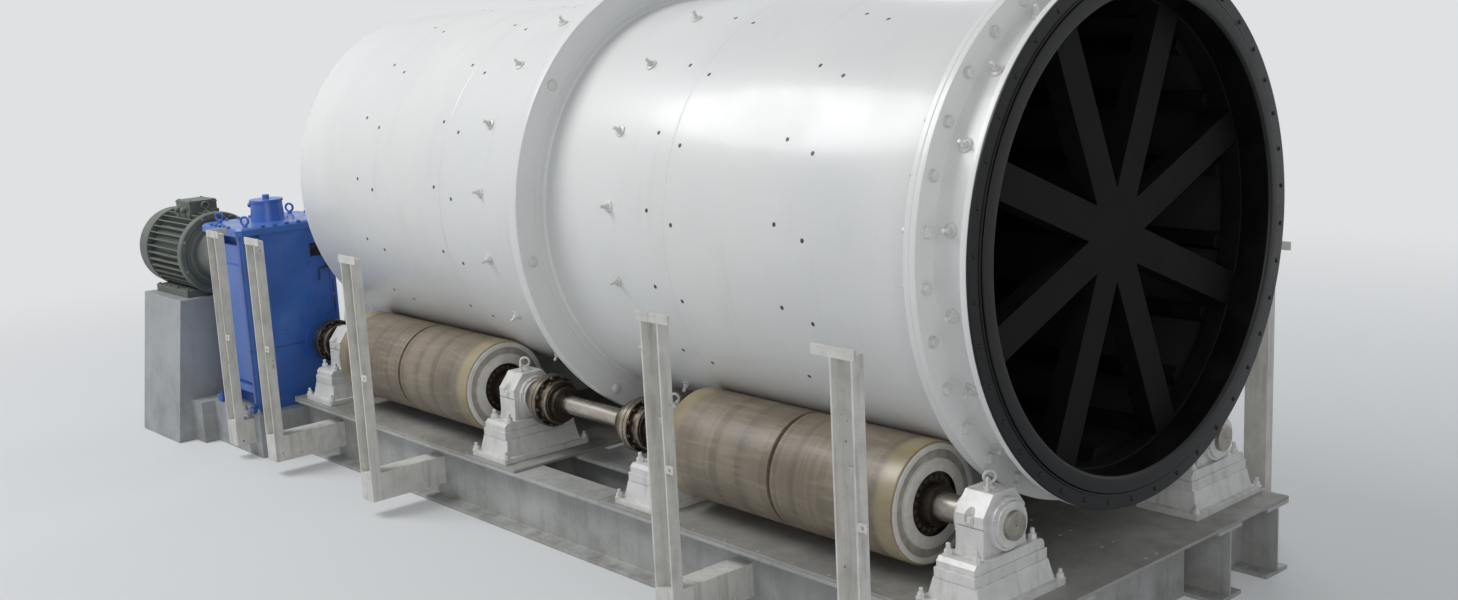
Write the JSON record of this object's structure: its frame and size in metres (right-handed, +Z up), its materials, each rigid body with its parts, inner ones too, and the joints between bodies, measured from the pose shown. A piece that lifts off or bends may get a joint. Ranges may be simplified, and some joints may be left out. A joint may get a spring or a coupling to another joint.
{
  "type": "rotary scrubber drum",
  "caption": "Rubber-lined steel drum on friction-driven roller rows with thrust rollers, gearboxes, motors, base frame and guard posts.",
  "frame": {"origin": "on the underside of the middle cross beam, below the middle of the thrust ring", "axes": "+X along the drum to the discharge mouth, +Y to the back, +Z up"},
  "size_m": [9.125, 3.7655, 3.6766],
  "materials": {
    "drum_paint": "glossy white enamel",
    "machine_white": "white enamel, a little dusty",
    "saddle_white": "clean white enamel",
    "lining_rubber": "black wear rubber",
    "mouth_black": "black moulded rubber with a smooth lip",
    "olive_polyurethane": "olive brown cast polyurethane, half clear at the edges",
    "red_polyurethane": "red cast polyurethane",
    "roller_paint": "white enamel with an oily hub",
    "oiled_steel": "dark oily steel with polished rims",
    "bright_steel": "bright turned steel",
    "base_grey": "light grey enamel",
    "deck_grey": "grey enamel, scuffed",
    "gearbox_blue": "mid blue gloss enamel",
    "motor_grey": "grey green enamel",
    "plinth_grey": "light grey enamel",
    "post_paint": "warm light grey enamel with rust at the edges"
  },
  "bodies": {
    "bed": {"cross_beams": "base_grey", "deck_plates": "deck_grey", "saddles": "saddle_white", "thrust_bracket": "machine_white", "guard_posts": "post_paint", "front_base_frame": "base_grey", "front_pedestals": "machine_white", "front_bearing_blocks": "machine_white", "front_gearbox": "gearbox_blue", "front_motor": "motor_grey", "front_drive_plinth": "plinth_grey", "back_base_frame": "base_grey", "back_pedestals": "machine_white", "back_bearing_blocks": "machine_white", "back_gearbox": "gearbox_blue", "back_motor": "motor_grey", "back_drive_plinth": "plinth_grey"},
    "drum": {"drum_shell": "drum_paint", "feed_head": "drum_paint", "shell_liner": "lining_rubber", "lifter_bars": "lining_rubber", "thrust_ring": "drum_paint", "shell_flange": "drum_paint", "discharge_section": "drum_paint", "mouth_rubber": "mouth_black", "mouth_spider": "lining_rubber"},
    "front_feed_thrust_roller": {"front_feed_thrust_tyre": "red_polyurethane", "front_feed_thrust_hub": "machine_white"},
    "front_discharge_thrust_roller": {"front_discharge_thrust_tyre": "red_polyurethane", "front_discharge_thrust_hub": "machine_white"},
    "front_row": {"front_couplings": "oiled_steel", "front_shafts": "bright_steel", "front_feed_roller": "roller_paint", "front_feed_tyres": "olive_polyurethane", "front_discharge_roller": "roller_paint", "front_discharge_tyres": "olive_polyurethane"},
    "back_feed_thrust_roller": {"back_feed_thrust_tyre": "red_polyurethane", "back_feed_thrust_hub": "machine_white"},
    "back_discharge_thrust_roller": {"back_discharge_thrust_tyre": "red_polyurethane", "back_discharge_thrust_hub": "machine_white"},
    "back_row": {"back_couplings": "oiled_steel", "back_shafts": "bright_steel", "back_feed_roller": "roller_paint", "back_feed_tyres": "olive_polyurethane", "back_discharge_roller": "roller_paint", "back_discharge_tyres": "olive_polyurethane"}
  },
  "joints": [
    {"name": "drum_spin", "type": "hinge", "parent": "bed", "child": "drum", "pos_m": [0, 0, 2.16181], "axis": [1, 0, 0], "continuous": true},
    {"name": "front_feed_thrust_roller_spin", "type": "hinge", "parent": "bed", "child": "front_feed_thrust_roller", "pos_m": [-0.202, -0.173, 0.73627], "axis": [0, 0.1205, 0.9927], "continuous": true},
    {"name": "front_discharge_thrust_roller_spin", "type": "hinge", "parent": "bed", "child": "front_discharge_thrust_roller", "pos_m": [0.202, -0.173, 0.73627], "axis": [0, 0.1205, 0.9927], "continuous": true},
    {"name": "front_row_spin", "type": "hinge", "parent": "bed", "child": "front_row", "pos_m": [0, -0.968, 0.85], "axis": [1, 0, 0], "continuous": true},
    {"name": "back_feed_thrust_roller_spin", "type": "hinge", "parent": "bed", "child": "back_feed_thrust_roller", "pos_m": [-0.202, 0.173, 0.73627], "axis": [0, -0.1205, 0.9927], "continuous": true},
    {"name": "back_discharge_thrust_roller_spin", "type": "hinge", "parent": "bed", "child": "back_discharge_thrust_roller", "pos_m": [0.202, 0.173, 0.73627], "axis": [0, -0.1205, 0.9927], "continuous": true},
    {"name": "back_row_spin", "type": "hinge", "parent": "bed", "child": "back_row", "pos_m": [0, 0.968, 0.85], "axis": [1, 0, 0], "continuous": true}
  ],
  "couplings": [
    {"joint": "front_row_spin", "follows": "drum_spin", "ratio": -3.9394},
    {"joint": "back_row_spin", "follows": "drum_spin", "ratio": -3.9394}
  ]
}
